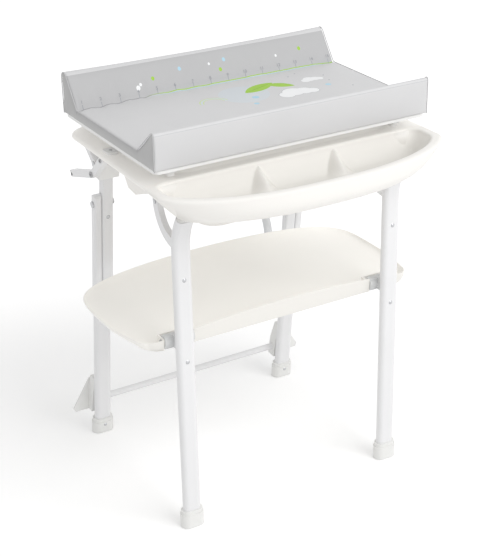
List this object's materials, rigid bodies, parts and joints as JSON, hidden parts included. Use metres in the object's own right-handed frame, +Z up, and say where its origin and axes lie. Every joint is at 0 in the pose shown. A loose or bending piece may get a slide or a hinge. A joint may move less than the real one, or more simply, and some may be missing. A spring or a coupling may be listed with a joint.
{
  "type": "changing table",
  "caption": "Folding bath and changing table: moulded tub with organiser lip on tube legs, padded mat that swings up, and a drop-down shelf tray.",
  "frame": {"origin": "on the floor, at the centre of the overall footprint", "axes": "+Z up, +X to the user's right seen from the front, front and organiser lip towards -Y"},
  "size_m": [0.6506, 0.625, 0.871],
  "materials": {
    "white_paint": "semi-gloss white powder coat",
    "foot_plastic": "satin moulded plastic",
    "white_plastic": "satin moulded plastic",
    "grey_plastic": "satin moulded plastic",
    "dark_plastic": "matt black plastic",
    "steel": "zinc plated",
    "tub_plastic": "soft gloss moulded plastic",
    "hose_plastic": "flexible ribbed hose",
    "mat_cover": "wipe-clean coated fabric over foam",
    "plug_rubber": "matt rubber"
  },
  "bodies": {
    "frame": {"front_leg_left": "white_paint", "front_leg_right": "white_paint", "front_foot_left": "foot_plastic", "front_foot_right": "foot_plastic", "rear_post_left": "white_paint", "rear_post_right": "white_paint", "post_bracket_left": "white_plastic", "post_bracket_right": "white_plastic", "curved_stay_left": "white_paint", "curved_stay_right": "white_paint", "stay_end_plugs": "grey_plastic", "stay_screws": "steel", "bath_basin": "tub_plastic", "organiser_trough": "tub_plastic", "tub_clips": "white_plastic", "tub_screws": "steel", "mat_rest_bar_left": "white_paint", "mat_rest_bar_right": "white_paint", "rest_bar_plugs": "dark_plastic", "rest_bar_screws": "dark_plastic", "mat_hinge_pins": "steel", "shelf_bracket_left": "grey_plastic", "shelf_bracket_right": "grey_plastic", "leg_rivets": "steel", "post_rivets": "steel", "drain_elbow": "white_plastic", "drain_hose": "hose_plastic"},
    "mat": {"changing_mat": "mat_cover", "mat_board": "white_plastic", "mat_arm_left": "white_paint", "mat_arm_right": "white_paint", "arm_pads": "white_plastic", "mat_screws": "steel"},
    "rear_legs": {"rear_leg_left": "white_paint", "rear_leg_right": "white_paint", "rear_foot_left": "foot_plastic", "rear_foot_right": "foot_plastic", "rear_crossbar": "white_paint", "crossbar_bracket_left": "foot_plastic", "crossbar_bracket_right": "foot_plastic", "leg_pivot_pins": "steel", "foot_screws": "steel"},
    "shelf": {"shelf_tray": "tub_plastic", "shelf_pins": "steel"},
    "plug": {"drain_plug": "plug_rubber"}
  },
  "joints": [
    {"name": "mat_flip", "type": "hinge", "parent": "frame", "child": "mat", "pos_m": [0, 0.184, 0.676], "axis": [-1, 0, 0], "range_deg": [0, 92]},
    {"name": "rear_leg_fold", "type": "hinge", "parent": "frame", "child": "rear_legs", "pos_m": [0, 0.19579, 0.584], "axis": [-1, 0, 0], "range_deg": [0, 36]},
    {"name": "shelf_drop", "type": "hinge", "parent": "frame", "child": "shelf", "pos_m": [0, -0.12593, 0.415], "axis": [-1, 0, 0], "range_deg": [0, 86.4]},
    {"name": "drain_plug_lift", "type": "slide", "parent": "frame", "child": "plug", "axis": [0, 0, 1], "range_m": [0, 0.03]}
  ],
  "couplings": [
    {"joint": "shelf_drop", "follows": "rear_leg_fold", "ratio": 2.4}
  ]
}
